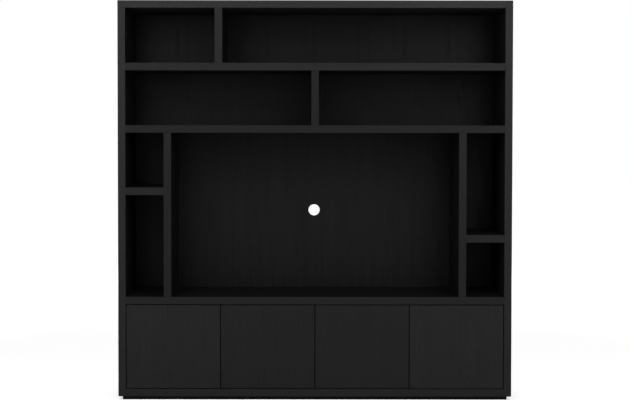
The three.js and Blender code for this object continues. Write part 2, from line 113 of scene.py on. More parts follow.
class Nodes:
    """Writes the nodes of one tree, a step at a time."""

    def __init__(self, tree: bpy.types.NodeTree) -> None:
        """Starts on a tree.

        Args:
            tree: The tree that the nodes go into.
        """
        self.tree = tree

    def add(self, kind: str, **settings: object) -> bpy.types.Node:
        """Adds a node and sets its plain properties.

        Args:
            kind: The node's type, without its ShaderNode prefix.
            settings: Properties of the node.

        Returns:
            The new node.
        """
        node = self.tree.nodes.new(f"ShaderNode{kind}")
        for key, value in settings.items():
            setattr(node, key, value)
        return node

    def feed(self, socket: Socket, value: object) -> None:
        """Links a socket to another one, or writes a plain value on it.

        Args:
            socket: The socket that takes the value.
            value: A socket, a number, or the numbers of a vector or a colour.
        """
        if isinstance(value, Socket):
            self.tree.links.new(value, socket)
        else:
            socket.default_value = value

    def feed_all(self, node: bpy.types.Node, values: Sequence[object]) -> None:
        """Feeds values to a node's sockets, in their order."""
        for socket, value in zip(node.inputs, values):
            self.feed(socket, value)

    def math(self, operation: str, *values: object, clamp: bool = False) -> Socket:
        """Works out one number from others.

        Args:
            operation: The math node's operation.
            values: Numbers or sockets, in the node's order.
            clamp: Whether the result is kept between 0 and 1.

        Returns:
            The socket that holds the result.
        """
        node = self.add("Math", operation=operation, use_clamp=clamp)
        self.feed_all(node, values)
        return node.outputs[0]

    def vector(self, operation: str, *values: object) -> Socket:
        """Works out one vector from others, or the length of one.

        Args:
            operation: The vector math node's operation.
            values: Vectors or sockets, in the node's order.

        Returns:
            The socket that holds the result, which is a number for LENGTH.
        """
        node = self.add("VectorMath", operation=operation)
        self.feed_all(node, values)
        return node.outputs["Value" if operation == "LENGTH" else "Vector"]

    def split(self, vector: Socket) -> tuple[Socket, ...]:
        """Takes a vector apart.

        Args:
            vector: The vector.

        Returns:
            The sockets of its x, y and z.
        """
        node = self.add("SeparateXYZ")
        self.feed_all(node, [vector])
        return tuple(node.outputs)

    def join(self, *parts: Socket) -> Socket:
        """Puts a vector together.

        Args:
            parts: Its x, y and z.

        Returns:
            The socket that holds the vector.
        """
        node = self.add("CombineXYZ")
        self.feed_all(node, parts)
        return node.outputs[0]

    def mix(self, amount: object, low: object, high: object) -> Socket:
        """Mixes two colours.

        Args:
            amount: The share of the second colour, between 0 and 1.
            low: The first colour, a socket or a triple.
            high: The second colour, a socket or a triple.

        Returns:
            The socket that holds the mixed colour.
        """
        node = self.add("Mix", data_type="RGBA")
        self.feed(node.inputs["Factor"], amount)
        self.feed(node.inputs["A"], low if isinstance(low, Socket) else opaque(low))
        self.feed(node.inputs["B"], high if isinstance(high, Socket) else opaque(high))
        return node.outputs["Result"]

    def noise(self, place: Socket, kind: Noise) -> Socket:
        """Reads a noise, stretched to its own scale along each axis.

        Args:
            place: The place that it is read at.
            kind: The noise.

        Returns:
            The socket that holds its value, between 0 and 1.
        """
        node = self.add("TexNoise")
        self.feed(node.inputs["Vector"], self.vector("MULTIPLY", place, kind.scales))
        self.feed(node.inputs["Scale"], 1.0)
        self.feed(node.inputs["Detail"], kind.detail)
        self.feed(node.inputs["Roughness"], kind.roughness)
        return node.outputs["Fac"]

    def step(self, value: Socket, low: float, high: float) -> Socket:
        """Rises smoothly from 0 at low to 1 at high, or falls if high is the lower one.

        Args:
            value: The value that is tested.
            low: Where the result is 0.
            high: Where the result is 1.

        Returns:
            The socket that holds the result.
        """
        rising = low < high
        node = self.add("MapRange", interpolation_type="SMOOTHSTEP")
        self.feed(node.inputs["Value"], value)
        self.feed(node.inputs["From Min"], min(low, high))
        self.feed(node.inputs["From Max"], max(low, high))
        self.feed(node.inputs["To Min"], 0.0 if rising else 1.0)
        self.feed(node.inputs["To Max"], 1.0 if rising else 0.0)
        return node.outputs["Result"]

    def range(self, value: Socket, low: float, high: float) -> Socket:
        """Maps a value between 0 and 1 to one between low and high."""
        return self.math("MULTIPLY_ADD", value, high - low, low)

    def curve(self, value: Socket, points: Sequence[Band]) -> Socket:
        """Reads a curve of straight stretches.

        Args:
            value: The place on the curve.
            points: The place and the height of each of its points, with the places rising from 0 to 1.

        Returns:
            The socket that holds the curve's height, as a grey.
        """
        node = self.add("ValToRGB")
        stops = node.color_ramp.elements
        for place, _ in points[1:-1]:
            stops.new(place)
        for stop, (place, height) in zip(stops, points):
            stop.position = place
            stop.color = opaque((height,) * 3)
        self.feed(node.inputs["Fac"], value)
        return node.outputs["Color"]

    def place(self, middle: Triple) -> Socket:
        """Reads the object's own coordinates, measured from a point.

        Args:
            middle: The point.

        Returns:
            The socket that holds the coordinates.
        """
        source = self.add("TexCoord")
        mapping = self.add("Mapping")
        self.feed(mapping.inputs["Vector"], source.outputs["Object"])
        self.feed(mapping.inputs["Location"], tuple(-value for value in middle))
        return mapping.outputs["Vector"]

    def looked_at(self) -> Socket:
        """Tells the rays that look at a thing from those that light the object.

        Returns:
            The socket that holds 1 for camera, glossy and transmission rays, and 0 for the rest.
        """
        rays = self.add("LightPath").outputs
        either = self.math("MAXIMUM", rays["Is Camera Ray"], rays["Is Glossy Ray"])
        return self.math("MAXIMUM", either, rays["Is Transmission Ray"])


class Recipe(Nodes):
    """Writes one material."""

    def __init__(self, name: str) -> None:
        """Starts a material that holds only its shader.

        Args:
            name: The material's name.
        """
        self.material = bpy.data.materials.new(name)
        self.material.use_nodes = True
        super().__init__(self.material.node_tree)
        self.shader = self.tree.nodes["Principled BSDF"]

    def relief(self, height: Socket, depth: float, strength: float) -> None:
        """Gives the surface a relief.

        Args:
            height: The height, between 0 and 1.
            depth: What the full height measures, in metres.
            strength: How much of it is seen.
        """
        bump = self.add("Bump")
        self.feed(bump.inputs["Strength"], strength)
        self.feed(bump.inputs["Distance"], depth)
        self.feed(bump.inputs["Height"], height)
        self.feed(self.shader.inputs["Normal"], bump.outputs["Normal"])

    def finish(self, colour: Socket, roughness: Socket, **fixed: float) -> bpy.types.Material:
        """Connects the shader.

        Args:
            colour: The base colour.
            roughness: The roughness.
            fixed: Values set straight on the shader, with underscores for the spaces in their names.

        Returns:
            The material.
        """
        self.feed(self.shader.inputs["Base Color"], colour)
        self.feed(self.shader.inputs["Roughness"], roughness)
        for name, value in fixed.items():
            self.feed(self.shader.inputs[name.replace("_", " ")], value)
        return self.material


@dataclass(frozen=True)
class StainedOak:
    """Flat-cut oak veneer, stained black, with its pores left open.

    The growth rings are cylinders round a pith line behind the board's broad face. The line leans a little,
    so the face shows arches in the middle of each leaf of veneer and straight lines towards its edges.
    """

    name: str

    # The stain where it is darkest and palest, and the colour of the arrises, a paler wear that the doors
    # set to a dark painted shade.
    dark: Triple = (0.0105, 0.0104, 0.0104)
    pale: Triple = (0.0204, 0.0201, 0.0201)
    arris_wear_and_painted_shade: Triple = (0.0380, 0.0365, 0.0355)

    # What each layer adds to the figure, and what is taken off so that it starts at the darkest stain.
    ring_share: float = 0.34
    fibre_share: float = 0.34
    cloud_share: float = 0.40
    streak_share: float = 0.16
    figure_offset: float = 0.06
    fibres: Noise = Noise((520.0, 520.0, 9.0), detail=3.0)
    clouds: Noise = Noise((9.0, 9.0, 1.6))
    streaks: Noise = Noise((64.0, 64.0, 1.7), detail=3.0, roughness=0.6)
    streak_band: Band = (0.30, 0.70)

    # The trunk. The pith leans to and fro by the bend, in radians per metre. The swell moves it in metres,
    # and the waver moves the rings, in rings. The profile gives the shade at places within a ring.
    pith_depth: float = 0.085
    pith_lean: float = 0.016
    pith_bend: float = 0.9
    pith_swell: Noise = Noise((0.0, 0.0, 1.3), detail=1.0)
    swell_size: float = 0.03
    ring_width: float = 0.0046
    ring_waver: Noise = Noise((26.0, 26.0, 3.2), detail=3.0)
    waver_size: float = 1.6
    ring_profile: tuple[Band, ...] = ((0.0, 0.95), (0.06, 0.12), (0.34, 0.22), (0.62, 0.62), (1.0, 1.0))

    # How the leaves of veneer are laid, and what the next board changes in them: the angles whose sine and
    # cosine give its shift and its lean, and the length of trunk that it is farther up.
    leaf_width: float = 0.210
    leaf_shift: float = 0.31
    shift_angle: float = 2.4
    lean_angle: float = 1.9
    trunk_length: float = 3.7

    # The pores: how many are left in the late wood, how much they cover, their share of the dark stain, and
    # how much rougher they are.
    pores: Noise = Noise((1500.0, 1500.0, 60.0), detail=1.0)
    pore_band: Band = (0.56, 0.66)
    late_pores: float = 0.18
    pore_cover: float = 0.75
    pore_shade: float = 0.35
    pore_roughness: float = 0.25

    # The surface, and the heights of the fibres and rings as shares of the pores' depth.
    roughness: float = 0.48
    roughness_spread: float = 0.10
    specular: float = 0.056
    relief_depth: float = 0.00030
    relief_strength: float = 0.45
    fibre_height: float = 0.35
    ring_height: float = 0.30

    # Painted shade inside the unit: the share of the colour that is left on the faces there, and how
    # much rougher the surface is. The skin gives the depths below an outer face between which that starts.
    painted_shade_keep: float = 0.20
    hidden_roughness: float = 0.16
    outer_skin: Band = (0.0012, 0.0004)

    # The arrises, which take their colour in patches of uneven strength: paler wear on the boards, and on
    # the doors a dark painted shade.
    arris_width: float = 0.0012
    arris_patches: Noise = Noise((14.0, 14.0, 14.0), detail=3.0)
    patch_band: Band = (0.42, 0.70)
    patch_strength: Band = (0.12, 0.70)

    def material(self, node: str, cut: Cut, stain_and_painted_light: float, number: int) -> bpy.types.Material:
        """Makes the finish of one board, with painted shade on its faces inside the unit.

        Args:
            node: The board's node, whose box centres the figure.
            cut: How the board lies.
            stain_and_painted_light: How pale it is, 1 being the usual: partly its stain and partly painted
                light and shade.
            number: The board's number in the stack, which picks its own figure.

        Returns:
            The board's material.
        """
        low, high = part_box(node)
        recipe = Recipe(f"{self.name}_{node}")
        place = recipe.place(tuple((low + high) / 2))
        grain = self._grain(recipe, place, cut, number)
        rings = self._rings(recipe, grain, number)
        fibres = recipe.noise(grain, self.fibres)
        pores = self._pores(recipe, grain, rings)
        outside_painted_shade = self._outside_painted_shade(recipe)
        # The board's paleness, partly its stain and partly painted light and shade, scales both stains.
        dark = tuple(stain_and_painted_light * value for value in self.dark)
        pale = tuple(stain_and_painted_light * value for value in self.pale)
        in_pores = tuple(self.pore_shade * value for value in dark)
        colour = recipe.mix(self._figure(recipe, grain, rings, fibres), dark, pale)
        colour = recipe.mix(recipe.math("MULTIPLY", pores, self.pore_cover), colour, in_pores)
        # Painted shade: faces inside the unit are darkened towards black, keeping their share of colour.
        colour = recipe.mix(outside_painted_shade, recipe.mix(self.painted_shade_keep, BLACK, colour), colour)
        # The arrises: paler wear on the boards, and a dark painted shade on the doors.
        colour = recipe.mix(self._arrises(recipe, place, tuple((high - low) / 2)), colour, self.arris_wear_and_painted_shade)
        rough = recipe.math("MULTIPLY_ADD", rings, -self.roughness_spread, self.roughness)
        rough = recipe.math("ADD", rough, recipe.range(outside_painted_shade, self.hidden_roughness, 0.0))
        rough = recipe.math("MULTIPLY_ADD", pores, self.pore_roughness, rough, clamp=True)
        height = recipe.math("MULTIPLY", rings, self.ring_height)
        height = recipe.math("MULTIPLY_ADD", fibres, self.fibre_height, height)
        height = recipe.math("SUBTRACT", height, pores)
        recipe.relief(height, self.relief_depth, self.relief_strength)
        return recipe.finish(colour, rough, Specular_IOR_Level=self.specular)

    def _grain(self, recipe: Recipe, place: Socket, cut: Cut, number: int) -> Socket:
        """Lays the leaves of veneer side by side, each one the mirror image of the last.

        Args:
            recipe: The recipe that takes the nodes.
            place: The place on the board.
            cut: How the board lies.
            number: The board's number.

        Returns:
            The socket that holds the place in the trunk: across the leaf from its middle, through the
            board, and along the grain.
        """
        parts = recipe.split(place)
        across, through, along = (parts[axis] for axis in cut.value)
        shift = self.leaf_width * (0.5 + self.leaf_shift * math.sin(self.shift_angle * number))
        folded = recipe.math("PINGPONG", recipe.math("ADD", across, shift), self.leaf_width)
        centred = recipe.math("SUBTRACT", folded, self.leaf_width / 2)
        return recipe.join(centred, through, recipe.math("ADD", along, self.trunk_length * number))

    def _rings(self, recipe: Recipe, grain: Socket, number: int) -> Socket:
        """Cuts the growth rings.

        The depth is the pith's depth, plus the distance through the board, plus the lean times the sine of
        the bend times the distance along the grain, plus the swell. The radius is the square root of across
        squared plus depth squared. The radius over the ring's width, plus the waver, is the number of the
        ring, and its fraction is the place within it, which the profile turns into a shade.

        Args:
            recipe: The recipe that takes the nodes.
            grain: The place in the trunk.
            number: The board's number.

        Returns:
            The socket that holds the shade, lowest in the open early wood and 1 where the late wood ends.
        """
        across, through, along = recipe.split(grain)
        lean = self.pith_lean * math.cos(self.lean_angle * number)
        swell = recipe.range(recipe.noise(grain, self.pith_swell), -self.swell_size, self.swell_size)
        bend = recipe.math("SINE", recipe.math("MULTIPLY", along, self.pith_bend))
        wander = recipe.math("ADD", recipe.math("MULTIPLY", bend, lean), swell)
        depth = recipe.math("ADD", recipe.math("ADD", through, self.pith_depth), wander)
        square = recipe.math("MULTIPLY_ADD", across, across, recipe.math("MULTIPLY", depth, depth))
        radius = recipe.math("SQRT", square)
        waver = recipe.range(recipe.noise(grain, self.ring_waver), -self.waver_size, self.waver_size)
        count = recipe.math("MULTIPLY_ADD", radius, 1 / self.ring_width, waver)
        return recipe.curve(recipe.math("FRACT", count), self.ring_profile)

    def _figure(self, recipe: Recipe, grain: Socket, rings: Socket, fibres: Socket) -> Socket:
        """Adds up the layers of the figure.

        Args:
            recipe: The recipe that takes the nodes.
            grain: The place in the trunk.
            rings: The shade of the rings.
            fibres: The noise of the fibres.

        Returns:
            The socket that holds the figure, from 0 where the stain is darkest to 1 where it is palest.
        """
        clouds = recipe.noise(grain, self.clouds)
        streaks = recipe.step(recipe.noise(grain, self.streaks), *self.streak_band)
        figure = recipe.math("MULTIPLY", rings, self.ring_share)
        figure = recipe.math("MULTIPLY_ADD", fibres, self.fibre_share, figure)
        figure = recipe.math("MULTIPLY_ADD", clouds, self.cloud_share, figure)
        figure = recipe.math("MULTIPLY_ADD", streaks, self.streak_share, figure)
        return recipe.math("SUBTRACT", figure, self.figure_offset + self.streak_share / 2, clamp=True)

    def _pores(self, recipe: Recipe, grain: Socket, rings: Socket) -> Socket:
        """Opens the pores, long thin dashes that crowd in the early wood.

        Args:
            recipe: The recipe that takes the nodes.
            grain: The place in the trunk.
            rings: The shade of the rings.

        Returns:
            The socket that holds 1 in an open pore of the early wood, and 0 between the pores.
        """
        dashes = recipe.step(recipe.noise(grain, self.pores), *self.pore_band)
        return recipe.math("MULTIPLY", dashes, recipe.range(rings, 1.0, self.late_pores))

    def _outside_painted_shade(self, recipe: Recipe) -> Socket:
        """Finds the unit's outer faces, left out of the painted shade that darkens the faces inside.

        A point lies on an outer face where its smallest distance to the sides of the unit's box is nothing.

        Args:
            recipe: The recipe that takes the nodes.

        Returns:
            The socket that holds 1 on the outer faces, and 0 inside the unit under full painted shade.
        """
        low, high = CAD_BOX
        place = recipe.place(tuple((low + high) / 2))
        inset = recipe.vector("SUBTRACT", tuple((high - low) / 2), recipe.vector("ABSOLUTE", place))
        a, b, c = recipe.split(inset)
        nearest = recipe.math("MINIMUM", recipe.math("MINIMUM", a, b), c)
        return recipe.step(nearest, *self.outer_skin)

    def _arrises(self, recipe: Recipe, place: Socket, half: Triple) -> Socket:
        """Finds the board's arrises.

        On the board's faces one distance to the sides of its box is zero, so the second smallest of the
        three is the distance to the nearest arris.

        Args:
            recipe: The recipe that takes the nodes.
            place: The place on the board, from its middle.
            half: Half of the board's box along each axis.

        Returns:
            The socket that holds how much is seen of the arrises' wear, or on the doors their painted
            shade.
        """
        inset = recipe.vector("SUBTRACT", half, recipe.vector("ABSOLUTE", place))
        a, b, c = recipe.split(inset)
        nearer = recipe.math("MINIMUM", recipe.math("MAXIMUM", a, b), c)
        second = recipe.math("MAXIMUM", recipe.math("MINIMUM", a, b), nearer)
        patches = recipe.step(recipe.noise(place, self.arris_patches), *self.patch_band)
        strength = recipe.range(patches, *self.patch_strength)
        return recipe.math("MULTIPLY", recipe.step(second, self.arris_width, 0.0), strength)


@dataclass(frozen=True)
class PlatedSteel:
    """Drawn or stamped steel under a thin plating, with fine scratches from front to back."""

    name: str
    colour: Triple
    roughness: float = 0.30
    roughness_spread: float = 0.22
    scratches: Noise = Noise((2600.0, 160.0, 2600.0), detail=3.0, roughness=0.6)
    scratch_depth: float = 0.00004
    scratch_strength: float = 0.35
    stains: Noise = Noise((210.0, 210.0, 210.0))
    stain_band: Band = (0.45, 0.75)
    stain_shade: float = 0.72

    def material(self) -> bpy.types.Material:
        """Makes the finish.

        Returns:
            The material.
        """
        recipe = Recipe(self.name)
        place = recipe.place(ORIGIN)
        scratches = recipe.noise(place, self.scratches)
        stains = recipe.step(recipe.noise(place, self.stains), *self.stain_band)
        colour = recipe.mix(stains, self.colour, tuple(self.stain_shade * value for value in self.colour))
        smoothest = self.roughness - self.roughness_spread / 2
        rough = recipe.math("MULTIPLY_ADD", scratches, self.roughness_spread, smoothest)
        recipe.relief(scratches, self.scratch_depth, self.scratch_strength)
        return recipe.finish(colour, rough, Metallic=1.0)


@dataclass(frozen=True)
class MouldedNylon:
    """Black glass-filled nylon with the fine spark texture of its mould, and paler streaks of its flow."""

    name: str
    colour: Triple = (0.0080, 0.0080, 0.0085)
    roughness: float = 0.52
    roughness_spread: float = 0.16
    specular: float = 0.16
    spark: Noise = Noise((2400.0, 2400.0, 2400.0), roughness=0.6)
    spark_depth: float = 0.00006
    spark_strength: float = 0.45
    flow: Noise = Noise((60.0, 60.0, 140.0))
    flow_shade: float = 1.55

    def material(self) -> bpy.types.Material:
        """Makes the finish.

        Returns:
            The material.
        """
        recipe = Recipe(self.name)
        place = recipe.place(ORIGIN)
        spark = recipe.noise(place, self.spark)
        flow = recipe.noise(place, self.flow)
        colour = recipe.mix(flow, self.colour, tuple(self.flow_shade * value for value in self.colour))
        smoothest = self.roughness - self.roughness_spread / 2
        rough = recipe.math("MULTIPLY_ADD", spark, self.roughness_spread, smoothest)
        recipe.relief(spark, self.spark_depth, self.spark_strength)
        return recipe.finish(colour, rough, Specular_IOR_Level=self.specular)


# Meshes


def grid_faces(rows: int, columns: int) -> np.ndarray:
    """Quads over a grid that closes on itself along its columns.

    Vertex (r, c) is number r * columns + c.

    Args:
        rows: How many rings of vertices there are.
        columns: How many vertices each ring has.

    Returns:
        The corners of the quads, four to a row.
    """
    row = np.arange(rows - 1)[:, None]
    column = np.arange(columns)[None, :]
    following = (column + 1) % columns
    corners = (row * columns + column, row * columns + following,
               (row + 1) * columns + following, (row + 1) * columns + column)
    return np.stack(corners, axis=-1).reshape(-1, 4)


def closed_grid(points: np.ndarray) -> tuple[np.ndarray, list[list[int]]]:
    """Closes a stack of rings into a solid with one polygon at each end.

    Args:
        points: Places, shaped rings by columns by 3. The first ring is the top one, counterclockwise from
            above, and the last is the bottom one.

    Returns:
        The vertices and the faces, pointing outwards.
    """
    rings, columns, _ = points.shape
    sides = grid_faces(rings, columns)[:, ::-1].tolist()
    top = list(range(columns))
    bottom = list(range((rings - 1) * columns, rings * columns))[::-1]
    return points.reshape(-1, 3), [top, *sides, bottom]


@dataclass(frozen=True)
class ScrewHead:
    """A screw with a cross recess, drawn with the face that it sits in at z = 0 and its shank below.

    A countersunk head has a cone and no rise. A pan head has a rise and no cone.
    """

    radius: float
    shank_radius: float
    shank: float
    recess_depth: float
    cone: float = 0.0
    rise: float = 0.0
    steps: int = 32

    # Shares of the head's radius: its rings, half the slot's width, the width of the slot's wall, the
    # slot's reach, the length of its sloping end, and how far the rim is rounded down.
    rings: tuple[float, ...] = (0.04, 0.16, 0.26, 0.36, 0.46, 0.56, 0.66, 0.80, 0.96)
    slot_width: float = 0.17
    slot_wall: float = 0.06
    slot_reach: float = 0.62
    slot_end: float = 0.16
    rim_drop: float = 0.04

    # The rim's height as a share of the rise, and the tip's radius as a share of the shank's.
    rim_share: float = 0.40
    tip_share: float = 0.4

    # The least height of the head's side, the room left under a pan head's rim, and how far below the
    # cone's depth the shank starts.
    side: float = 0.00005
    room: float = 0.00008
    sink: float = 0.00004

    def points(self) -> np.ndarray:
        """The rings of the screw, from the middle of its recess out over the head and down the shank.

        On the head, ring u has the radius u R and the height rise (1 - u^4 / 2), less the recess: its depth
        times a smooth cross, which is full where the smaller of |x| and |y| lies inside the slot's half
        width and the radius inside its reach. The rim's height is its share of the rise less its drop times
        R. Below it the head's side goes straight down, the cone narrows evenly to the shank, and the shank
        ends in a short taper.

        Returns:
            Places, shaped rings by steps by 3.
        """
        shares = np.array(self.rings)[:, None]
        angle = 2 * np.pi * np.arange(self.steps) / self.steps
        around = np.ones(self.steps)
        reach = self.radius * shares * around
        x, y = reach * np.cos(angle), reach * np.sin(angle)
        into_slot = self.slot_width * self.radius - np.minimum(abs(x), abs(y))
        slot = np.clip(into_slot / (self.slot_wall * self.radius), 0, 1)
        ends = np.clip((self.slot_reach * self.radius - reach) / (self.slot_end * self.radius), 0, 1)
        dome = self.rise * (1 - 0.5 * shares ** 4)
        head = np.stack([x, y, dome - self.recess_depth * slot * ends], axis=-1)
        rim = self.rim_share * self.rise - self.rim_drop * self.radius
        profile = np.array([
            (self.radius, rim),
            (self.radius, min(rim - self.side, self.room)),
            (self.shank_radius, -self.cone - self.sink),
            (self.shank_radius, -self.shank + self.shank_radius),
            (self.tip_share * self.shank_radius, -self.shank),
        ])
        radii, heights = profile[:, :1], profile[:, 1:]
        lower = np.stack([radii * np.cos(angle), radii * np.sin(angle), heights * around], axis=-1)
        return np.concatenate([head, lower])


@dataclass(frozen=True)
class Seat:
    """Where a screw sits: the middle of its head, the direction that it faces, and its recess's turn."""

    place: Triple
    facing: Triple
    turn: float


def seated(points: np.ndarray, seat: Seat) -> np.ndarray:
    """Carries a shape drawn along +Z to its seat.

    The shape is turned about +Z by the seat's turn, tilted from +Z to the facing direction, and moved.

    Args:
        points: Places, with the last axis x, y, z.
        seat: The seat.

    Returns:
        The places in the unit's frame.
    """
    tilt = np.array(Vector(seat.facing).to_track_quat("Z", "Y").to_matrix())
    cosine, sine = math.cos(seat.turn), math.sin(seat.turn)
    spin = np.array([[cosine, -sine, 0], [sine, cosine, 0], [0, 0, 1]])
    return points @ (tilt @ spin).T + np.array(seat.place)


def screws(name: str, head: ScrewHead, seats: Sequence[Seat],
           material: bpy.types.Material) -> bpy.types.Object:
    """Makes one object that holds a screw at every seat.

    Args:
        name: The object's name.
        head: The screw.
        seats: Where the screws sit.
        material: Their finish.

    Returns:
        The object, at the origin.
    """
    shape = head.points()
    vertices: list[np.ndarray] = []
    faces: list[list[int]] = []
    for count, seat in enumerate(seats):
        corners, polygons = closed_grid(seated(shape, seat))
        start = count * len(corners)
        vertices.append(corners)
        faces.extend([[start + corner for corner in polygon] for polygon in polygons])
    mesh = bpy.data.meshes.new(name)
    mesh.from_pydata(np.concatenate(vertices).tolist(), [], faces)
    mesh.materials.append(material)
    mesh.shade_smooth()
    mesh.set_sharp_from_angle(angle=SHARP_ANGLE)
    thing = bpy.data.objects.new(name, mesh)
    bpy.context.scene.collection.objects.link(thing)
    return thing


def dress(node: str, material: bpy.types.Material) -> None:
    """Gives a CAD node its finish."""
    NODES[node].data.materials.clear()
    NODES[node].data.materials.append(material)


# Sub-assemblies


@dataclass
class Carcass:
    """The fixed boards, the back panels and the plinth."""

    oak: StainedOak = StainedOak("stained_oak")
    # The back panels' veneer, whose faces inside the unit take a lighter painted shade than the boards.
    veneer: StainedOak = StainedOak(
        "stained_back", leaf_width=0.243, relief_strength=0.35, ring_share=0.44, streak_share=0.60,
        painted_shade_keep=0.41, hidden_roughness=0.0)

    # How each board lies, and how pale it is: partly how it took the stain, and partly painted light and
    # shade, the top panel and outer sides paler for the stronger light on them.
    boards: dict[str, tuple[Cut, float]] = field(default_factory=lambda: {
        "side_left": (Cut.UPRIGHT, 1.25),
        "side_right": (Cut.UPRIGHT, 1.20),
        "bottom_panel": (Cut.LYING, 1.22),
        "tv_deck": (Cut.LYING, 1.0),
        "shelf_middle": (Cut.LYING, 0.81),
        "shelf_upper": (Cut.LYING, 1.0),
        "top_panel": (Cut.LYING, 1.40),
        "divider_upper": (Cut.UPRIGHT, 1.0),
        "divider_middle": (Cut.UPRIGHT, 0.75),
        "upright_left": (Cut.UPRIGHT, 0.88),
        "upright_right": (Cut.UPRIGHT, 0.88),
        "niche_shelf_left": (Cut.LYING, 1.03),
        "niche_shelf_right": (Cut.LYING, 1.06),
        "base_partition": (Cut.UPRIGHT, 1.0),
        "cupboard_shelf_left": (Cut.LYING, 1.0),
        "cupboard_shelf_right": (Cut.LYING, 1.0),
        "plinth_frame": (Cut.LYING, 0.8),
    })

    # The boards over the upper row and the middle row, whose faces inside the unit get a lighter
    # painted shade, standing for the light that their undersides catch from below.
    painted_shade_keep_by_board: dict[str, float] = field(default_factory=lambda: {"top_panel": 0.44, "shelf_upper": 0.30})

    # How pale each back panel is: partly how it took the stain, and partly painted light, the bay's back
    # paler for the light that pools in the bay.
    backs: dict[str, float] = field(default_factory=lambda: {
        "back_upper": 0.95, "back_middle": 0.95, "back_bay": 1.11, "back_base": 1.0})

    # For each row of screws, the dividing board that it goes into and the back panel that it holds.
    screw_rows: tuple[tuple[str, str], ...] = (
        ("divider_upper", "back_upper"),
        ("divider_middle", "back_middle"),
        ("upright_left", "back_bay"),
        ("upright_right", "back_bay"),
        ("base_partition", "back_base"),
    )
    screw: ScrewHead = ScrewHead(
        radius=0.0042, shank_radius=0.0020, shank=0.0140, recess_depth=0.0011, rise=0.0017)
    screw_pitch: float = 0.16
    screw_margin: float = 0.055
    screw_turn: float = 0.7

    def build(self, steel: bpy.types.Material) -> None:
        """Dresses every board and drives the screws through the back panels.

        Args:
            steel: The screws' finish.
        """
        for number, (node, (cut, stain_and_painted_light)) in enumerate(self.boards.items()):
            # Each board's share of colour kept under the painted shade inside the unit.
            oak = replace(self.oak, painted_shade_keep=self.painted_shade_keep_by_board.get(node, self.oak.painted_shade_keep))
            dress(node, oak.material(node, cut, stain_and_painted_light, number))
            log.info("dressed %s", node)
        for number, (node, stain_and_painted_light) in enumerate(self.backs.items(), start=len(self.boards)):
            dress(node, self.veneer.material(node, Cut.FACING, stain_and_painted_light, number))
            log.info("dressed %s", node)
        piece = screws("back_screws", self.screw, self._seats(), steel)
        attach(piece, "carcass")
        log.info("made %s", piece.name)

    def _seats(self) -> list[Seat]:
        """Spaces each row of screws evenly up its board, with the same margin at both ends.

        Returns:
            The seats of all the rows.
        """
        seats = []
        for divider, back in self.screw_rows:
            low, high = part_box(divider)
            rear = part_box(back)[1].y
            span = high.z - low.z - 2 * self.screw_margin
            count = round(span / self.screw_pitch) + 1
            for i in range(count):
                height = low.z + self.screw_margin + span * i / (count - 1)
                place = ((low.x + high.x) / 2, rear, height)
                seats.append(Seat(place, (0, 1, 0), self.screw_turn * len(seats)))
        return seats


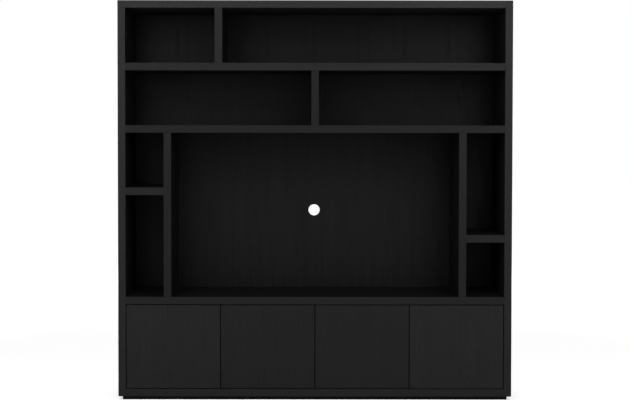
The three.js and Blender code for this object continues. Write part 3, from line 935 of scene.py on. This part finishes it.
@dataclass
class Doors:
    """The four doors with the screws of their leaves and strikers."""

    # The doors' near-black arrises are painted shade along the gaps round them, and their faces inside the
    # unit take painted shade too.
    oak: StainedOak = StainedOak(
        "door_lacquer", dark=(0.0108, 0.0103, 0.0106), pale=(0.0208, 0.0199, 0.0205),
        arris_wear_and_painted_shade=(0.0030, 0.0029, 0.0030), arris_width=0.0020, leaf_width=0.239, ring_share=0.16,
        roughness_spread=0.05, relief_strength=0.25, painted_shade_keep=0.40)
    # How pale each door is: partly how it took the stain, and partly painted light, the outer doors paler
    # for the stronger light at the ends of the unit.
    stains_and_painted_light: tuple[float, ...] = (1.25, 1.05, 1.05, 1.25)
    first_figure: int = 30
    leaf_screw: ScrewHead = ScrewHead(
        radius=0.0033, shank_radius=0.0017, shank=0.0120, recess_depth=0.0009, cone=0.0016)
    leaf_screw_reaches: tuple[float, ...] = (0.0187, 0.0330)
    striker_screw: ScrewHead = ScrewHead(
        radius=0.0031, shank_radius=0.0016, shank=0.0090, recess_depth=0.0008, cone=0.0012)
    striker_screw_inset: float = 0.0003

    # How far the screws' recesses turn from one door to the next, and with their distance from the axis.
    leaf_screw_turn: float = 1.3
    leaf_screw_turn_by_reach: float = 40.0
    striker_screw_turn: float = 0.4

    def build(self, nickel: bpy.types.Material, zinc: bpy.types.Material) -> None:
        """Dresses the doors and their steel parts. The two doors of a pair share one figure.

        Args:
            nickel: The black nickel of the hinge leaves and their screws.
            zinc: The finish of the strikers and their screws.
        """
        for number, stain_and_painted_light in enumerate(self.stains_and_painted_light, start=1):
            door = f"door_{number}"
            pair = (number - 1) // 2
            dress(door, self.oak.material(door, Cut.FACING, stain_and_painted_light, self.first_figure + pair))
            for end in ("top", "bottom"):
                dress(f"pivot_leaf_{number}_{end}", nickel)
            leaf = screws(f"leaf_screws_{number}", self.leaf_screw, self._leaf_seats(number), nickel)
            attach(leaf, f"door_{number}")
            dress(f"striker_{number}", zinc)
            seat = self._striker_seat(number)
            striker = screws(f"striker_screw_{number}", self.striker_screw, [seat], zinc)
            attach(striker, f"door_{number}")
            log.info("dressed %s and made %s and %s", door, leaf.name, striker.name)

    def _leaf_seats(self, number: int) -> list[Seat]:
        """Places the two screws in each leaf of a door, on the free side of its axis.

        Args:
            number: The door's number.

        Returns:
            The seats, in the door's top end and then in its bottom end.
        """
        low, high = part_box(f"door_{number}")
        axis_x, axis_y, _ = HINGES[f"door_{number}"]
        towards = math.copysign(1.0, (low.x + high.x) / 2 - axis_x)
        seats = []
        for z, facing in ((high.z, 1), (low.z, -1)):
            for reach in self.leaf_screw_reaches:
                turn = self.leaf_screw_turn * number + self.leaf_screw_turn_by_reach * reach
                seats.append(Seat((axis_x + towards * reach, axis_y, z), (0, 0, facing), turn))
        return seats

    def _striker_seat(self, number: int) -> Seat:
        """Places the screw in the middle of a striker.

        Args:
            number: The door's number.

        Returns:
            The seat, a little below the striker's face.
        """
        low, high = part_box(f"striker_{number}")
        place = ((low.x + high.x) / 2, high.y - self.striker_screw_inset, (low.z + high.z) / 2)
        return Seat(place, (0, 1, 0), self.striker_screw_turn * number)


@dataclass
class Fittings:
    """The bushes, shelf pins and push latches inside the base."""

    sides: tuple[str, ...] = ("left", "right")
    pins_each: int = 4
    doors: int = 4
    wing_thickness: float = 0.003
    wing_screw: ScrewHead = ScrewHead(
        radius=0.0036, shank_radius=0.0017, shank=0.0140, recess_depth=0.0010, rise=0.0018)
    wing_screw_reach: float = 0.0275
    wing_screw_rows: tuple[float, ...] = (-0.129, -0.161)

    # How far the screws' recesses turn with their place, in radians per metre.
    turn_across: float = 20.0
    turn_along: float = 31.0

    def build(self, nickel: bpy.types.Material, zinc: bpy.types.Material,
              nylon: bpy.types.Material) -> None:
        """Dresses the fittings and makes the screws of the latches.

        Args:
            nickel: The finish of the shelf pins.
            zinc: The finish of the latches' screws.
            nylon: The finish of the bushes and the latches.
        """
        for side in self.sides:
            dress(f"latch_housing_{side}", nylon)
            piece = screws(f"latch_screws_{side}", self.wing_screw, self._wing_seats(side), zinc)
            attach(piece, "carcass")
            log.info("made %s", piece.name)
            for i in range(1, self.pins_each + 1):
                dress(f"shelf_pin_{side}_{i}", nickel)
        for number in range(1, self.doors + 1):
            dress(f"plunger_{number}", nylon)
            for end in ("top", "bottom"):
                dress(f"pivot_bush_{number}_{end}", nylon)
        log.info("dressed the fittings")

    def _wing_seats(self, side: str) -> list[Seat]:
        """Places the screws that go up through a latch housing's wings into the deck.

        Args:
            side: The side of the unit that the housing is on.

        Returns:
            The seats, in the left wing and then in the right one.
        """
        low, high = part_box(f"latch_housing_{side}")
        middle = (low.x + high.x) / 2
        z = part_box("tv_deck")[0].z - self.wing_thickness
        seats = []
        for reach in (-self.wing_screw_reach, self.wing_screw_reach):
            for y in self.wing_screw_rows:
                turn = self.turn_along * y + self.turn_across * reach
                seats.append(Seat((middle + reach, y, z), (0, 0, -1), turn))
        return seats


# Studio


@dataclass
class Viewpoint:
    """The camera at the photograph's angle.

    It looks down a little and leans to its left by the roll. Its axis meets the photograph at one pixel,
    which the shift makes up.
    """

    place: Triple = (-0.077, -6.000, 1.382)
    focal_pixels: float = 1143.2
    axis_x: float = 299.93
    axis_y: float = 156.28
    pitch: float = math.radians(1.37)
    roll: float = math.radians(0.06)
    sensor: float = 36.0

    def build(self) -> bpy.types.Object:
        """Makes the camera and puts it in charge.

        Returns:
            The camera.
        """
        data = bpy.data.cameras.new("camera")
        data.sensor_width = self.sensor
        data.lens = self.focal_pixels * self.sensor / PHOTO_WIDTH
        data.shift_x = (PHOTO_WIDTH / 2 - self.axis_x) / PHOTO_WIDTH
        data.shift_y = (self.axis_y - PHOTO_HEIGHT / 2) / PHOTO_WIDTH
        camera = bpy.data.objects.new("camera", data)
        camera.location = self.place
        camera.rotation_euler = (math.pi / 2 - self.pitch, -self.roll, 0.0)
        bpy.context.scene.collection.objects.link(camera)
        bpy.context.scene.camera = camera
        return camera


@dataclass(frozen=True)
class Softbox:
    """A rectangular lamp that looks at a point."""

    name: str
    place: Triple
    power: float
    target: Triple = (0.0, 0.0, 1.1)
    width: float = 1.2
    height: float = 1.2

    def on_the_left(self) -> "Softbox":
        """The same lamp on the left of the unit, with that in its name."""
        x, y, z = self.place
        return replace(self, name=f"left_{self.name}", place=(-x, y, z))

    def on_the_right(self) -> "Softbox":
        """The same lamp on the right of the unit, with that in its name."""
        return replace(self, name=f"right_{self.name}")

    def build(self) -> bpy.types.Object:
        """Makes the lamp, which the camera doesn't see.

        Returns:
            The lamp.
        """
        data = bpy.data.lights.new(self.name, "AREA")
        data.shape = "RECTANGLE"
        data.size = self.width
        data.size_y = self.height
        data.energy = self.power
        lamp = bpy.data.objects.new(self.name, data)
        lamp.location = self.place
        lamp.rotation_euler = (Vector(self.target) - Vector(self.place)).to_track_quat("-Z", "Y").to_euler()
        lamp.visible_camera = False
        bpy.context.scene.collection.objects.link(lamp)
        return lamp


@dataclass
class Studio:
    """The pale floor, the white surround and the lamps."""

    floor_size: float = 40.0
    floor_seen: Triple = (0.90, 0.90, 0.90)
    floor_unseen: Triple = (0.20, 0.20, 0.20)

    # The floor's glow beside the object, and how far from it the glow starts to rise and reaches white.
    near_glow: float = 0.55
    shadow_reach: float = 2.2
    white_from: float = 5.0

    # The strength of the world where it isn't looked at.
    surround: float = 0.03

    # The lamps that stand on both sides, each given as it stands on the right, and the one behind.
    pairs: tuple[Softbox, ...] = (
        Softbox("high", (1.5, -2.5, 3.4), 36.3),
        Softbox("key", (1.5, -2.5, 2.4), 21.8),
        Softbox("low", (3.0, -2.5, 0.7), 18.7),
        Softbox("far", (1.5, -5.5, 1.4), 9.0),
        Softbox("fill", (4.8, 1.2, 2.2), 30.0, target=(0.0, 0.0, 1.0), width=2.0, height=2.0),
    )
    rear: Softbox = Softbox(
        "rear_fill", (0.0, 5.0, 2.6), 90.0, target=(0.0, 0.0, 1.0), width=2.6, height=1.8)

    def build(self) -> None:
        """Makes the floor, the world and the lamps."""
        self._floor()
        self._world()
        for lamp in self.pairs:
            lamp.on_the_left().build()
            lamp.on_the_right().build()
        self.rear.build()
        bpy.context.scene.view_settings.view_transform = "Standard"

    def _floor(self) -> None:
        """Makes a wide white floor that isn't part of the object."""
        half = self.floor_size / 2
        corners = np.array([[-1, -1, 0], [1, -1, 0], [1, 1, 0], [-1, 1, 0]], float) * half
        mesh = bpy.data.meshes.new("studio_floor")
        mesh.from_pydata(corners.tolist(), [], [[0, 1, 2, 3]])
        mesh.materials.append(self._floor_material())
        floor = bpy.data.objects.new("studio_floor", mesh)
        bpy.context.scene.collection.objects.link(floor)

    def _floor_material(self) -> bpy.types.Material:
        """Makes the floor white with a glow where it is looked at, so that only the object's shadow shows.

        To the rays that light the object it is a plain grey.

        Returns:
            The floor's material.
        """
        recipe = Recipe("studio_floor")
        recipe.tree.nodes.remove(recipe.shader)
        white = recipe.add("BsdfDiffuse")
        recipe.feed(white.inputs["Color"], opaque(self.floor_seen))
        distance = recipe.vector("LENGTH", recipe.place(ORIGIN))
        rise = recipe.step(distance, self.shadow_reach, self.white_from)
        glow = recipe.add("Emission")
        recipe.feed(glow.inputs["Color"], opaque(WHITE))
        recipe.feed(glow.inputs["Strength"], recipe.range(rise, self.near_glow, 1.0))
        seen = recipe.add("AddShader")
        recipe.feed_all(seen, [white.outputs[0], glow.outputs[0]])
        unseen = recipe.add("BsdfDiffuse")
        recipe.feed(unseen.inputs["Color"], opaque(self.floor_unseen))
        choice = recipe.add("MixShader")
        recipe.feed_all(choice, [recipe.looked_at(), unseen.outputs[0], seen.outputs[0]])
        recipe.feed(recipe.tree.nodes["Material Output"].inputs["Surface"], choice.outputs[0])
        return recipe.material

    def _world(self) -> None:
        """Makes the world white where it is looked at, and a weak even light elsewhere."""
        world = bpy.data.worlds.new("studio")
        bpy.context.scene.world = world
        world.use_nodes = True
        nodes = Nodes(world.node_tree)
        background = nodes.tree.nodes["Background"]
        nodes.feed(background.inputs["Color"], opaque(WHITE))
        nodes.feed(background.inputs["Strength"], nodes.range(nodes.looked_at(), self.surround, 1.0))


def main() -> None:
    """Builds the studio and dresses each sub-assembly in turn."""
    logging.basicConfig(level=logging.INFO, format="%(name)s: %(message)s")
    Viewpoint().build()
    Studio().build()
    nickel = PlatedSteel("nickel", colour=(0.56, 0.54, 0.50)).material()
    black_nickel = PlatedSteel("black_nickel", colour=(0.020, 0.019, 0.019), roughness=0.50).material()
    zinc = PlatedSteel("striker_steel", colour=(0.46, 0.47, 0.48), roughness=0.36).material()
    nylon = MouldedNylon("black_nylon").material()
    Carcass().build(zinc)
    Doors().build(black_nickel, zinc)
    Fittings().build(nickel, zinc, nylon)
    log.info("wrote the CAD box and the visual box")


if __name__ == "__main__":
    main()
